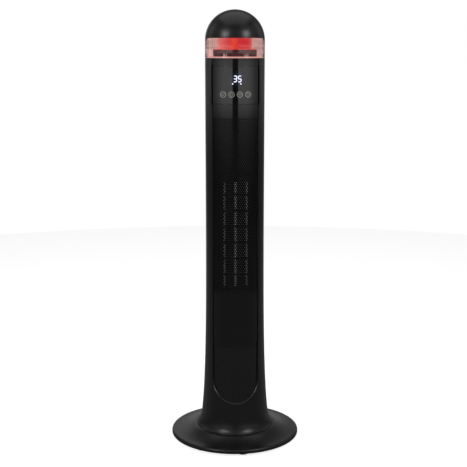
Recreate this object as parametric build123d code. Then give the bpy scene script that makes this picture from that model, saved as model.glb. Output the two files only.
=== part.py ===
from build123d import *
from math import asin, atan2, cos, degrees, exp, pi, radians, sin, sqrt, tan
import os

# A tower ceramic heater, in millimetres. The front faces -Y and +Z is up.
# The origin is at the centre of the base, on the floor.

# Driving sizes of the outside
total_height = 918.0
base_radius = 138.5
body_radius = 62.0
shell_wall = 2.5
foot_height = 6.0
rim_height = 8.3
rim_round = 4.0
deck_rise = 11.7
deck_radius = 88.0
seam_gap = 0.8
flare_swell = 13.35
flare_length = 110.0
flare_height = 401.2
skirt_swell = 9.0
skirt_length = 9.0
channel_half_width = 47.7
channel_start = 65.2
channel_bevel = 2.0
panel_recess = 2.0
panel_thickness = 1.9
chassis_thickness = 2.0
lower_panel_start = 185.2
lower_panel_height = 119.0
lower_panel_slope_height = 26.0
lower_panel_slope_depth = 0.6
panel_joint = 2.0
glass_side_lap = 0.7
strip_height = 25.0
control_panel_height = 77.0
control_panel_drop = 16.0
ring_height = 39.5
ring_seam = 0.5
dome_rise = 58.0

# Clearances
piece_gap = 0.3
seat_gap = 0.1
glass_gap = 0.8
running_gap = 0.05
axial_gap = 0.3

# Base
cover_wall = 2.5
base_plate_thickness = 2.0
foot_radius = 12.0
foot_inset = 23.5
foot_count = 8
foot_turn = -83.5
cover_lip = 1.2
deck_sweep_steps = 6
ballast_inner_radius = 48.0
ballast_rim_gap = 16.5
ballast_thickness = 4.0
hub_radius = 24.0
hub_bore_radius = 13.0
boss_radius = 3.6
boss_circle_radius = 41.0
boss_count = 4
thrust_inner_radius = 58.0
thrust_outer_radius = 65.0
thrust_height = 2.5
gland_radius = 3.5
gland_bore_radius = 2.9
gland_length = 12.0
gland_end_inset = 2.5

# Tip-over switch
tip_switch_y = -88.0
tip_switch_length = 20.0
tip_switch_width = 13.0
tip_switch_height = 6.8
plunger_radius = 2.5
plunger_lift = 0.3
plunger_flange_radius = 3.8
plunger_flange_thickness = 1.2

# Swivel drive
tower_plate_thickness = 3.5
tower_plate_radius = 69.0
ledge_width = 11.0
ledge_height = 6.0
gear_module = 1.0
gear_teeth = 60
pinion_teeth = 18
gear_sector_teeth = 15
gear_thickness = 6.0
tooth_backlash = 0.16
pressure_angle = 20.0
swivel_motor_radius = 21.0
swivel_motor_height = 16.0
pinion_shaft_radius = 2.5
motor_post_radius = 3.5

# Fan
rotor_radius = 22.0
blade_depth = 5.0
blade_thickness = 0.9
blade_count = 24
rotor_disc_thickness = 2.0
rotor_mid_discs = 3
rotor_mid_disc_thickness = 1.0
rotor_hub_radius = 8.0
rotor_end_gap = 3.0
fan_axis_y = 9.0
fan_shaft_radius = 3.0
bush_radius = 6.5
bush_height = 7.0
fan_motor_radius = 24.0
fan_motor_height = 38.0
duct_wall = 1.6
duct_plate_thickness = 3.0
scroll_gap = 3.0
tongue_gap = 2.0

# Heating element
heater_drop = 12.0
heater_top_margin = 136.0
heater_bar_spacing = 23.6
heater_bar_width = 4.0
heater_depth = 14.0
heater_front_y = -46.5
heater_frame_wall = 3.4
fin_thickness = 0.4
fin_pitch = 2.6
guard_rib_height = 4.6
guard_rib_depth = 1.6
guard_rib_pitch = 34.0
guard_gap = 0.8
cutout_radius = 7.0
cutout_height = 6.0

# Grilles
grille_rows = 5
grille_rib_height = 4.0
grille_slot_width = 2.4
grille_slot_pitch = 5.0
grille_margin = 9.0
grille_side_margin = 5.0
rear_window_half_width = 38.0
rear_slot_height = 5.0
rear_row_pitch = 11.0
rear_rib_width = 3.0
rear_columns = 4
filter_thickness = 1.0
filter_lap = 4.0

# Control panel
glass_thickness = 1.2
glass_ledge = 2.5
board_thickness = 1.6
board_half_width = 36.0
touch_pitch = 17.1
touch_drop = 57.1
touch_spring_radius = 4.0
digit_module_width = 28.0
digit_module_height = 22.0
digit_module_offset = 5.0
digit_module_drop = 25.0
power_board_half_width = 36.0
power_board_height = 88.0
power_board_y = 4.0
board_part_margin = 6.0
relay_width = 16.0
relay_depth = 15.0
relay_height = 20.0
capacitor_radius = 9.0
capacitor_length = 22.0
sink_half_width = 28.0
sink_depth = 20.0
sink_plate = 3.0
sink_fin = 2.0
sink_fin_count = 8

# Light ring and dome
ring_wall = 2.2
flange_height = 3.0
plinth_radius = 45.5
plinth_height = 15.0
core_radius = 36.0
core_wall = 2.0
ring_post_radius = 8.0
led_count = 12
led_size = 4.0
dome_wall = 2.5
dome_plate_thickness = 2.5

# Rear rocker switch
rocker_height_above_seam = 121.2
rocker_bezel_width = 15.0
rocker_bezel_height = 21.0
rocker_bezel_thickness = 2.0
rocker_seat_depth = 1.6
rocker_housing_depth = 13.0
rocker_rim = 2.2
rocker_tilt = 8.0
rocker_crown = 2.6
rocker_pin_radius = 1.2
rocker_pin_depth = 0.6

# Fasteners
screw_radius = 1.6
screw_head_radius = 3.1
screw_head_height = 1.4
screw_length = 9.0
rear_screw_angles = (36.0, 144.0)
lug_width = 10.0
lug_height = 8.0
lug_depth = 14.0

# Heights that follow from the driving sizes
base_bottom = foot_height
base_plate_top = base_bottom + base_plate_thickness
rim_top = base_bottom + rim_height
deck_top = rim_top + deck_rise
tower_bottom = deck_top + seam_gap
thrust_top = deck_top + thrust_height
tower_plate_top = thrust_top + tower_plate_thickness
gear_bottom = tower_plate_top + axial_gap
gear_top = gear_bottom + gear_thickness
gear_screw_top = gear_top - screw_head_height
flare_top = tower_bottom + flare_height
channel_bottom = tower_bottom + channel_start
channel_centre = channel_bottom + channel_half_width
lower_panel_bottom = tower_bottom + lower_panel_start
lower_panel_top = lower_panel_bottom + lower_panel_height
grille_bottom = lower_panel_top + panel_joint
ring_top = total_height - dome_rise
ring_bottom = ring_top - ring_height
body_top = ring_bottom - ring_seam
control_top = body_top - control_panel_drop
control_bottom = control_top - control_panel_height
grille_top = control_bottom - strip_height
heater_bottom = grille_bottom + heater_drop
heater_top = grille_top - heater_top_margin
duct_bottom = heater_bottom - heater_frame_wall - duct_plate_thickness
duct_top = heater_top + heater_frame_wall + duct_plate_thickness
channel_back_inset = panel_recess + panel_thickness + seat_gap
chassis_back_inset = channel_back_inset + chassis_thickness
slide_inset = shell_wall + piece_gap
gear_pitch_radius = gear_module * gear_teeth / 2
pinion_pitch_radius = gear_module * pinion_teeth / 2
pinion_y = gear_pitch_radius + pinion_pitch_radius
half_space = base_radius + body_radius

TO_TOP = (Align.CENTER, Align.CENTER, Align.MIN)


def write(name, *solids):
    """One node: a single solid, or a group of separate ones."""
    shape = solids[0] if len(solids) == 1 else Compound(children=list(solids))
    export_step(shape, f"parts/{name}.step")


def disc(radius, low, high, x=0.0, y=0.0):
    return Pos(x, y, low) * Cylinder(radius, high - low, align=TO_TOP)


def tube(outer, inner, low, high, x=0.0, y=0.0):
    return disc(outer, low, high, x, y) - disc(inner, low, high, x, y)


def block(x_low, x_high, y_low, y_high, z_low, z_high):
    size = (x_high - x_low, y_high - y_low, z_high - z_low)
    middle = ((x_low + x_high) / 2, (y_low + y_high) / 2, (z_low + z_high) / 2)
    return Pos(*middle) * Box(*size)


def around(count, radius, start=0.0):
    """Places on a circle about the Z axis."""
    for index in range(count):
        angle = radians(start + 360.0 * index / count)
        yield radius * cos(angle), radius * sin(angle)


def screw(length=screw_length):
    """A screw pointing up +Z, with its head below Z 0."""
    head = disc(screw_head_radius, -screw_head_height, 0)
    return head + disc(screw_radius, 0, length)


def screw_hole(length=screw_length):
    """The room that a screw takes, with its running gap."""
    head = disc(screw_head_radius + running_gap, -screw_head_height - running_gap, 0)
    return head + disc(screw_radius + running_gap, -running_gap, length + running_gap)


def thick_path(points, thickness):
    """A flat strip of even thickness along an open path, as a closed outline."""
    left, right = [], []
    for index, (x, y) in enumerate(points):
        before = points[max(index - 1, 0)]
        after = points[min(index + 1, len(points) - 1)]
        first = atan2(y - before[1], x - before[0]) if index else None
        second = atan2(after[1] - y, after[0] - x) if index < len(points) - 1 else None
        first = second if first is None else first
        second = first if second is None else second
        turn = (second - first + pi) % (2 * pi) - pi
        normal = first + turn / 2 + pi / 2
        reach = thickness / 2 / cos(turn / 2)
        left.append((x + reach * cos(normal), y + reach * sin(normal)))
        right.append((x - reach * cos(normal), y - reach * sin(normal)))
    return left + right[::-1]


def prism(points, low, high):
    """An outline in plan, raised from one height to another."""
    return Pos(0, 0, low) * extrude(make_face(Polyline(*points, close=True)), high - low)


def body_outline(height):
    """The tower's outer radius: a tube that swells towards its foot."""
    if height >= flare_top:
        return body_radius
    end = exp(-flare_height / flare_length)
    swell = flare_swell * (exp(-(height - tower_bottom) / flare_length) - end)
    return body_radius + swell + skirt_swell * exp(-(height - tower_bottom) / skirt_length)


def outline_edge(inset, low, high):
    """The tower's outline moved inwards, between two heights."""
    top = min(high, flare_top)
    edges = []
    if low < top:
        steps = 5 + round(9 * (top - low) / flare_height)
        heights = [low + (top - low) * (step / steps) ** 1.6 for step in range(steps + 1)]
        edges.append(Spline([(body_outline(z) - inset, 0, z) for z in heights]))
    if high > flare_top:
        start = max(low, flare_top)
        radius = body_radius - inset
        edges.append(Line((radius, 0, start), (radius, 0, high)))
    return edges


def body_layer(outer_inset, inner_inset, low, high):
    """A layer of the tower's wall, all the way round."""
    outer = outline_edge(outer_inset, low, high)
    inner = outline_edge(inner_inset, low, high)
    ends = []
    for height, place in ((low, 0), (high, 1)):
        radius = body_outline(height)
        ends.append(Line((radius - outer_inset, 0, height), (radius - inner_inset, 0, height)))
    return revolve(make_face(outer + inner + ends), Axis.Z)


def channel(grow=0.0, low=None, high=None):
    """The U-shaped front opening as a solid, with its sides moved outwards."""
    half = channel_half_width + grow
    top = body_top + half_space if high is None else high
    middle = Plane.XZ * Pos(0, channel_centre) * Circle(half)
    sides = Plane.XZ * Pos(0, (channel_centre + top) / 2) * Rectangle(2 * half, top - channel_centre)
    shape = extrude(middle + sides, half_space)
    if low is not None:
        shape &= block(-half, half, -half_space, 0, low, top)
    return shape


def front_panel(low, high, outer_inset, inner_inset, side_gap=piece_gap):
    """A curved panel that fills the front channel between two heights."""
    layer = body_layer(outer_inset, inner_inset, low, high)
    return layer & channel(-side_gap, low - 1, high + 1)


def gear_points(teeth, start=0.0, count=None):
    """Involute teeth as straight facets. The first tooth points along start."""
    pitch = gear_module * teeth / 2
    base = pitch * cos(radians(pressure_angle))
    tip = pitch + gear_module
    root = pitch - 1.25 * gear_module
    involute = tan(radians(pressure_angle)) - radians(pressure_angle)
    half_tooth = pi / (2 * teeth) - tooth_backlash / (2 * pitch)
    low = max(base, root)
    flank = []
    for step in range(4):
        radius = low + (tip - low) * step / 3
        spread = sqrt(max((radius / base) ** 2 - 1, 0))
        flank.append((radius, half_tooth + involute - (spread - atan2(spread, 1))))
    if root < base:
        flank.insert(0, (root, flank[0][1]))
    points = []
    for tooth in range(count or teeth):
        centre = radians(start) + 2 * pi * tooth / teeth
        for radius, half in flank:
            points.append((radius * cos(centre - half), radius * sin(centre - half)))
        for radius, half in flank[::-1]:
            points.append((radius * cos(centre + half), radius * sin(centre + half)))
    return points


def base_screw_places():
    return list(around(boss_count, boss_circle_radius, 45.0))


def base_screws():
    for x, y in base_screw_places():
        yield Pos(x, y, base_bottom + screw_head_height) * screw()


def deck_sweep(lift):
    """The cover's top from its rim, almost level, up to the deck at the tower's foot."""
    start = base_radius - rim_round
    points = []
    for step in range(deck_sweep_steps + 1):
        part = step / deck_sweep_steps
        radius = start + (deck_radius - start) * part
        points.append((radius, 0, rim_top + lift + deck_rise * part**2))
    return Spline(points)


def make_base_cover():
    """The low round cover, with its hub for the swivel and bosses for its screws."""
    inner = base_radius - cover_wall
    edge_low = base_radius - cover_lip
    lip_top = base_bottom + cover_lip
    side_top = rim_top - rim_round
    round_share = rim_round * (1 - sqrt(0.5))
    outside = [
        Line((inner, 0, base_bottom), (edge_low, 0, base_bottom)),
        Line((edge_low, 0, base_bottom), (base_radius, 0, lip_top)),
        Line((base_radius, 0, lip_top), (base_radius, 0, side_top)),
        ThreePointArc(
            (base_radius, 0, side_top),
            (base_radius - round_share, 0, rim_top - round_share),
            (base_radius - rim_round, 0, rim_top),
        ),
    ]
    middle = [
        (deck_radius, deck_top),
        (hub_radius, deck_top),
        (hub_radius, gear_bottom),
        (hub_bore_radius, gear_bottom),
        (hub_bore_radius, deck_top - cover_wall),
        (deck_radius, deck_top - cover_wall),
    ]
    under = [
        (base_radius - rim_round, rim_top - cover_wall),
        (inner, side_top - cover_wall / 2),
        (inner, base_bottom),
    ]
    edges = outside + [deck_sweep(0.0), deck_sweep(-cover_wall)]
    for corners in (middle, under):
        edges += [Line((a[0], 0, a[1]), (b[0], 0, b[1])) for a, b in zip(corners, corners[1:])]
    cover = revolve(make_face(edges), Axis.Z)
    for x, y in base_screw_places():
        cover += disc(boss_radius, base_plate_top, deck_top - cover_wall, x, y)
        cover -= Pos(x, y, base_bottom + screw_head_height) * screw_hole()
    hole_low = gear_screw_top - screw_length - running_gap
    for x, y in gear_screw_places():
        cover -= disc(screw_radius + running_gap, hole_low, gear_bottom, x, y)
    cover -= gland_room(gland_radius)
    return cover


def gland_height():
    return (base_bottom + rim_top) / 2


def gland_end():
    """How far back the gland reaches, just inside the rim."""
    return base_radius - gland_end_inset


def gland_room(radius):
    start = Plane((0, base_radius + 1, gland_height()), z_dir=(0, -1, 0))
    depth = base_radius + 1 - gland_end() + gland_length
    return start * Cylinder(radius, depth, align=TO_TOP)


def make_cord_gland():
    """The sleeve at the rear of the base where the supply cord goes in."""
    start = Plane((0, gland_end(), gland_height()), z_dir=(0, -1, 0))
    sleeve = start * Cylinder(gland_radius, gland_length, align=TO_TOP)
    return sleeve - start * Cylinder(gland_bore_radius, gland_length, align=TO_TOP)


def make_base_plate():
    """The bottom closing plate, with holes for the screws and the plunger."""
    plate = disc(base_radius - cover_wall - piece_gap, base_bottom, base_plate_top)
    for x, y in base_screw_places():
        plate -= Pos(x, y, base_bottom + screw_head_height) * screw_hole()
    plate -= gland_room(gland_radius)
    return plate - disc(plunger_radius + piece_gap, base_bottom, base_plate_top, 0, tip_switch_y)


def make_ballast():
    """A steel ring that keeps the tower upright."""
    low = base_plate_top
    outer = base_radius - ballast_rim_gap
    ring = tube(outer, ballast_inner_radius, low, low + ballast_thickness)
    half_x = tip_switch_length / 2 + 1
    half_y = tip_switch_width / 2 + 1
    notch = block(-half_x, half_x, tip_switch_y - half_y, tip_switch_y + half_y, low, deck_top)
    return ring - notch


def make_tip_switch():
    """The tip-over switch's housing, with room for the plunger's stroke."""
    top = base_plate_top + tip_switch_height
    half_x, half_y = tip_switch_length / 2, tip_switch_width / 2
    body = block(-half_x, half_x, tip_switch_y - half_y, tip_switch_y + half_y, base_plate_top, top)
    body -= disc(plunger_flange_radius + piece_gap, base_plate_top + 1, top - 1, 0, tip_switch_y)
    return body - disc(plunger_radius + running_gap, base_plate_top, top - 1, 0, tip_switch_y)


def make_plunger():
    """The plunger that the floor holds up while the heater stands."""
    top = base_plate_top + tip_switch_height - 1 - piece_gap
    flange = disc(plunger_flange_radius, top - plunger_flange_thickness, top, 0, tip_switch_y)
    return flange + disc(plunger_radius, plunger_lift, top, 0, tip_switch_y)


def make_feet():
    places = around(foot_count, base_radius - foot_inset, foot_turn)
    return [disc(foot_radius, 0, foot_height, x, y) for x, y in places]


def gear_screw_places():
    middle = (hub_radius + hub_bore_radius) / 2
    return list(around(3, middle, 30.0))


def gear_screws():
    for x, y in gear_screw_places():
        yield Pos(x, y, gear_screw_top) * Rot(180, 0, 0) * screw()


def make_swivel_gear():
    """The fixed toothed sector, on a flange that also holds the tower down."""
    root = gear_pitch_radius - 1.25 * gear_module
    step = 360.0 / gear_teeth
    first = 90.0 - step * (gear_sector_teeth - 1) / 2
    first += step / 2 * ((gear_sector_teeth - 1) % 2)
    teeth = gear_points(gear_teeth, first, gear_sector_teeth)
    gear = prism([(0, 0)] + teeth, gear_bottom, gear_top) + disc(root, gear_bottom, gear_top)
    gear -= disc(hub_bore_radius, gear_bottom, gear_top)
    for x, y in gear_screw_places():
        gear -= Pos(x, y, gear_screw_top) * Rot(180, 0, 0) * screw_hole()
    return gear


def make_pinion():
    """The drive pinion, with the short shaft that runs in the swivel motor."""
    start = -90.0 + 180.0 / pinion_teeth
    pinion = Pos(0, pinion_y, 0) * prism(gear_points(pinion_teeth, start), gear_bottom, gear_top)
    top = gear_top + axial_gap + swivel_motor_height / 2
    return pinion + disc(pinion_shaft_radius, gear_bottom, top, 0, pinion_y)


def motor_post_places():
    reach = swivel_motor_radius - motor_post_radius + 1
    return [(-reach, pinion_y), (reach, pinion_y)]


def tower_screw_places():
    return list(around(4, tower_plate_radius - ledge_width / 2, 0.0))


def tower_screws():
    for x, y in tower_screw_places():
        yield Pos(x, y, thrust_top + screw_head_height) * screw()


def make_tower_plate():
    """The tower's floor, which turns on the hub and carries the swivel motor."""
    plate = tube(tower_plate_radius, hub_radius + running_gap, thrust_top, tower_plate_top)
    for x, y in motor_post_places():
        plate += disc(motor_post_radius, tower_plate_top, gear_top + axial_gap, x, y)
    for x, y in tower_screw_places():
        plate -= Pos(x, y, thrust_top + screw_head_height) * screw_hole()
    return plate


def make_swivel_motor():
    """A flat geared motor, standing on two posts above the pinion."""
    low = gear_top + axial_gap
    motor = disc(swivel_motor_radius, low, low + swivel_motor_height, 0, pinion_y)
    bore = pinion_shaft_radius + running_gap
    return motor - disc(bore, low, low + swivel_motor_height / 2 + axial_gap, 0, pinion_y)


def rocker_height():
    return tower_bottom + rocker_height_above_seam


def rocker_seat_y():
    """The flat seat of the rocker's bezel, cut into the rear of the tower."""
    return body_outline(rocker_height() + rocker_bezel_height / 2) - rocker_seat_depth + 0.6


def rear_screw_heights():
    return [duct_bottom + duct_plate_thickness / 2, duct_top - duct_plate_thickness / 2]


def rear_screw_places():
    """Each rear screw's place, pointing towards the tower's axis."""
    for height in rear_screw_heights():
        for angle in rear_screw_angles:
            radius = body_outline(height) - screw_head_height - 0.2
            yield Rot(0, 0, angle) * Pos(radius, 0, height) * Rot(0, -90, 0)


def make_tower_shell():
    """The tube with its swelling foot, the front channel and the rear openings."""
    shell = body_layer(0, shell_wall, tower_bottom, body_top)
    ledge_low = tower_plate_top
    inner = tower_plate_radius - ledge_width
    filler = disc(body_outline(ledge_low + ledge_height) - 1, tower_bottom, ledge_low + ledge_height)
    filler -= disc(tower_plate_radius, tower_bottom, ledge_low)
    filler -= disc(inner, ledge_low, ledge_low + ledge_height)
    shell += filler
    shell -= disc(tower_plate_radius, tower_bottom, ledge_low)
    shell -= channel()
    rims = [edge for edge in shell.edges() if on_channel_rim(edge)]
    shell = chamfer(rims, channel_bevel) - glass_room()
    half = rear_window_half_width
    shell -= block(-half, half, 0, half_space, rear_window_bottom(), rear_window_top())
    for place in rear_screw_places():
        shell -= place * screw_hole()
        shell -= place * disc(screw_head_radius + running_gap, -10, 0)
    for x, y in tower_screw_places():
        shell -= Pos(x, y, thrust_top + screw_head_height) * screw_hole()
    return shell - rocker_cut()


def on_channel_rim(edge):
    """Whether an edge lies where the channel meets the tube's outer face."""
    middle = edge @ 0.5
    if middle.Y > 0 or middle.Z < channel_bottom - 5 or middle.Z > body_top - 1:
        return False
    radius = sqrt(middle.X**2 + middle.Y**2)
    return abs(radius - body_outline(middle.Z)) < 0.3


def rear_window_bottom():
    return heater_bottom - heater_frame_wall


def rear_window_top():
    return grille_top - grille_margin


def rocker_cut():
    """The rocker's hole through the shell, and the seat of its bezel."""
    low = rocker_height() - rocker_bezel_height / 2
    high = rocker_height() + rocker_bezel_height / 2
    half = rocker_bezel_width / 2
    wide, y = half + seat_gap, rocker_seat_y()
    seat = block(-wide, wide, y, half_space, low - seat_gap, high + seat_gap)
    inner_half = half - 1
    hole = block(-inner_half, inner_half, y - 10, y + 1, low + 1, high - 1)
    return seat + hole


def make_rocker_housing():
    """The rocker switch's body: a bezel on the shell and a box behind it."""
    low = rocker_height() - rocker_bezel_height / 2
    high = rocker_height() + rocker_bezel_height / 2
    half = rocker_bezel_width / 2
    seat = rocker_seat_y()
    body = block(-half, half, seat, seat + rocker_bezel_thickness, low, high)
    step = 1 + seat_gap
    inner = half - step
    back = seat - rocker_housing_depth
    body += block(-inner, inner, back, seat, low + step, high - step)
    room = half - rocker_rim
    body -= block(-room, room, seat - 8, seat + 5, low + rocker_rim, high - rocker_rim)
    return body - rocker_pin(running_gap)


def rocker_pin(grow=0.0):
    """The crosswise pin that the rocker turns on, held in the housing's sides."""
    reach = rocker_bezel_width / 2 - rocker_rim + rocker_pin_depth + grow
    start = Plane((-reach, rocker_seat_y(), rocker_height()), z_dir=(1, 0, 0))
    return start * Cylinder(rocker_pin_radius + grow, 2 * reach, align=TO_TOP)


def make_rocker():
    """The rocker itself, a shallow roof that rocks about a crosswise pin."""
    half_x = rocker_bezel_width / 2 - rocker_rim - piece_gap
    half_z = rocker_bezel_height / 2 - rocker_rim - 1.1
    pivot = Pos(0, rocker_seat_y(), rocker_height())
    crown = rocker_crown
    rise = half_z * tan(radians(rocker_tilt))
    side = [
        (-3.0, -half_z + 1.0),
        (crown + rise, -half_z),
        (crown, 0),
        (crown + rise, half_z),
        (-3.0, half_z - 1.0),
    ]
    face = make_face(Polyline(*[(0, y, z) for y, z in side], close=True))
    body = Pos(-half_x, 0, 0) * extrude(face, 2 * half_x, dir=(1, 0, 0))
    return pivot * Rot(-rocker_tilt, 0, 0) * body + rocker_pin()


def make_chassis():
    """The front frame behind the panels. Its bare foot is the channel's floor."""
    back = chassis_back_inset
    low, high = channel_bottom - 6, body_top - seat_gap
    frame = body_layer(slide_inset, back, low, high) & channel(6.0, low, high)
    pocket = body_layer(0, channel_back_inset, lower_panel_bottom, body_top + 1)
    frame -= pocket & channel(0, lower_panel_bottom, body_top + 1)
    frame -= pocket & glass_room()
    half = channel_half_width - 5
    frame -= block(-half, half, -half_space, 0, grille_bottom + 5, grille_top - 4)
    half = board_half_width
    return frame - block(-half, half, -half_space, 0, control_bottom + 6, control_top - 6)


def make_lower_panel():
    """The plain gloss panel under the grille, with a sloping lower band."""
    top = lower_panel_top
    band_top = lower_panel_bottom + lower_panel_slope_height
    back = panel_recess + panel_thickness
    layer = body_layer(panel_recess, back, band_top, top)
    low_inset = panel_recess + lower_panel_slope_depth
    slope = [
        (body_outline(lower_panel_bottom) - low_inset, 0, lower_panel_bottom),
        (body_outline(band_top) - panel_recess, 0, band_top),
        (body_outline(band_top) - back, 0, band_top),
        (body_outline(lower_panel_bottom) - back, 0, lower_panel_bottom),
    ]
    layer += revolve(make_face(Polyline(*slope, close=True)), Axis.Z)
    return layer & channel(-piece_gap, lower_panel_bottom - 1, top + 1)


def make_front_grille():
    """The curved outlet grille, with rows of upright slots between solid edges."""
    back = panel_recess + panel_thickness
    grille = front_panel(grille_bottom, grille_top - seat_gap, panel_recess, back)
    reach = body_radius - panel_recess
    field = grille_top - grille_bottom - 2 * grille_margin
    slot = (field - (grille_rows - 1) * grille_rib_height) / grille_rows
    half_field = channel_half_width - grille_side_margin
    half_turn = degrees(asin(half_field / reach))
    columns = int(2 * radians(half_turn) * reach / grille_slot_pitch) + 1
    cuts = []
    for row in range(grille_rows):
        low = grille_bottom + grille_margin + row * (slot + grille_rib_height)
        for column in range(columns):
            turn = -90.0 - half_turn + 2 * half_turn * column / (columns - 1)
            half = grille_slot_width / 2
            slot_block = block(reach / 2, reach + 5, -half, half, low, low + slot)
            cuts.append(Rot(0, 0, turn) * slot_block)
    return grille.cut(*cuts)


def make_display_bezel():
    """The gloss surround above the grille, with a step for the control glass."""
    back = panel_recess + panel_thickness
    bezel = front_panel(grille_top, body_top, panel_recess, back)
    step = panel_recess + glass_thickness + seat_gap
    bezel -= body_layer(0, step, control_bottom - glass_gap, control_top + glass_gap)
    half = channel_half_width - piece_gap - glass_ledge
    low, high = control_bottom + glass_ledge, control_top - glass_ledge
    return bezel - block(-half, half, -half_space, 0, low, high)


def make_control_panel():
    """The curved touch glass over the digits and the four touch keys."""
    back = panel_recess + glass_thickness
    return front_panel(control_bottom, control_top, panel_recess, back, -glass_side_lap)


def glass_room():
    """The glass is a little wider than the channel and needs this room beside it."""
    low, high = control_bottom - glass_gap, control_top + glass_gap
    return channel(glass_side_lap + glass_gap, low, high)


def board_front_y():
    """The display board's front face, clear of the chassis at its edges."""
    inner = body_radius - chassis_back_inset
    return -sqrt(inner**2 - board_half_width**2) + 2


def glass_back_y(x):
    inner = body_radius - panel_recess - glass_thickness - seat_gap
    return -sqrt(inner**2 - x**2)


def make_display_board():
    half = board_half_width
    front = board_front_y()
    low, high = control_bottom + 2, control_top - 2
    return block(-half, half, front, front + board_thickness, low, high)


def make_digit_module():
    """The two-digit light module between the board and the glass."""
    left = digit_module_offset - digit_module_width / 2
    right = left + digit_module_width
    front = glass_back_y(max(abs(left), abs(right))) + 0.5
    middle = control_top - digit_module_drop
    low, high = middle - digit_module_height / 2, middle + digit_module_height / 2
    return block(left, right, front, board_front_y(), low, high)


def make_touch_springs():
    """Four sensing pads that stand from the board up to the glass."""
    pads = []
    height = control_top - touch_drop
    for index in range(4):
        x = (index - 1.5) * touch_pitch
        front = glass_back_y(abs(x) + touch_spring_radius) + seat_gap
        start = Plane((x, board_front_y(), height), z_dir=(0, -1, 0))
        pads.append(start * Cylinder(touch_spring_radius, board_front_y() - front, align=TO_TOP))
    return pads


def rotor_low():
    return duct_bottom + duct_plate_thickness + rotor_end_gap


def rotor_high():
    return duct_top - duct_plate_thickness - rotor_end_gap


def make_fan_rotor():
    """The cross-flow rotor: forward-curved blades between discs."""
    low, high = rotor_low(), rotor_high()
    inner = rotor_radius - blade_depth
    lean = radians(9.0)
    middle = (inner + rotor_radius) / 2
    blade = [
        (inner, 0),
        (middle * cos(lean * 0.3), middle * sin(lean * 0.3)),
        ((rotor_radius - 0.5) * cos(lean), (rotor_radius - 0.5) * sin(lean)),
    ]
    points = thick_path(blade, blade_thickness)
    blades = []
    for index in range(blade_count):
        turn = Rot(0, 0, 360.0 * index / blade_count)
        blades.append(turn * prism(points, low + rotor_disc_thickness, high - rotor_disc_thickness))
    discs = [disc(rotor_radius, low, low + rotor_disc_thickness)]
    discs.append(disc(rotor_radius, high - rotor_disc_thickness, high))
    half = rotor_mid_disc_thickness / 2
    for index in range(rotor_mid_discs):
        height = low + (high - low) * (index + 1) / (rotor_mid_discs + 1)
        discs.append(tube(rotor_radius, inner - 1, height - half, height + half))
    for start, end in ((low, low + 8), (high - 8, high)):
        discs.append(disc(rotor_hub_radius, start, end))
    rotor = discs[0].fuse(*discs[1:], *blades)
    rotor -= disc(fan_shaft_radius + running_gap, low, high)
    return Pos(0, fan_axis_y, 0) * rotor


def make_fan_shaft():
    """The steel shaft, from inside the motor up to the top bush."""
    low = duct_bottom - fan_motor_height + 6
    return disc(fan_shaft_radius, low, duct_top + bush_height - 1, 0, fan_axis_y)


def make_fan_motor():
    """The fan's motor, hung under the duct, with a bore for the shaft."""
    low = duct_bottom - fan_motor_height
    motor = disc(fan_motor_radius, low, duct_bottom, 0, fan_axis_y)
    return motor - disc(fan_shaft_radius + running_gap, low + 5, duct_bottom, 0, fan_axis_y)


def make_top_bush():
    """The flanged bronze bush for the shaft's upper end."""
    low = duct_top - duct_plate_thickness
    bush = disc(bush_radius - 2, low, duct_top, 0, fan_axis_y)
    bush += disc(bush_radius, duct_top, duct_top + bush_height, 0, fan_axis_y)
    return bush - disc(fan_shaft_radius + running_gap, low, duct_top + bush_height, 0, fan_axis_y)


def heater_half_width():
    return heater_bar_spacing + heater_bar_width / 2 + heater_frame_wall


def make_fan_duct():
    """The scroll, the tongue and the two end plates that hold the fan."""
    low, high = duct_bottom, duct_top
    plate = body_radius - chassis_back_inset - seat_gap
    duct = disc(plate, low, low + duct_plate_thickness)
    duct += disc(plate, high - duct_plate_thickness, high)
    mouth = heater_front_y + heater_depth + duct_wall
    edge = heater_half_width() - duct_wall / 2
    scroll = []
    for step in range(9):
        angle = radians(115.0 + 12.5 * step)
        radius = rotor_radius + scroll_gap + duct_wall / 2 + 3.5 * step / 8
        scroll.append((radius * cos(angle), fan_axis_y + radius * sin(angle)))
    scroll.append((-edge, mouth))
    tongue_x = rotor_radius + tongue_gap + duct_wall / 2
    tongue = [(tongue_x + 5, fan_axis_y + 4), (tongue_x, fan_axis_y - 3), (edge, mouth)]
    for path in (scroll, tongue):
        duct += prism(thick_path(path, duct_wall), low, high)
    duct -= disc(fan_shaft_radius + 2, low, low + duct_plate_thickness, 0, fan_axis_y)
    duct -= disc(bush_radius - 2, high - duct_plate_thickness, high, 0, fan_axis_y)
    half = lug_width / 2
    for height in rear_screw_heights():
        reach = body_outline(height) - shell_wall - seat_gap
        lug_low, lug_high = height - lug_height / 2, height + lug_height / 2
        ring = disc(reach, lug_low, lug_high)
        lug = block(plate - lug_depth, reach + 5, -half, half, lug_low, lug_high)
        for angle in rear_screw_angles:
            duct += ring & (Rot(0, 0, angle) * lug)
    for place in rear_screw_places():
        duct -= place * screw_hole()
    return duct


def make_heater_frame():
    """The heat-proof frame round the fins and bars."""
    half = heater_half_width()
    front, back = heater_front_y, heater_front_y + heater_depth
    wall = heater_frame_wall
    frame = block(-half, half, front, back, heater_bottom - wall, heater_top + wall)
    return frame - block(-half + wall, half - wall, front, back, heater_bottom, heater_top)


def heater_bars():
    """Three flat tubes that hold the ceramic stones and spread their heat."""
    front, back = heater_front_y, heater_front_y + heater_depth
    half = heater_bar_width / 2
    for index in (-1, 0, 1):
        x = index * heater_bar_spacing
        yield block(x - half, x + half, front, back, heater_bottom, heater_top)


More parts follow.
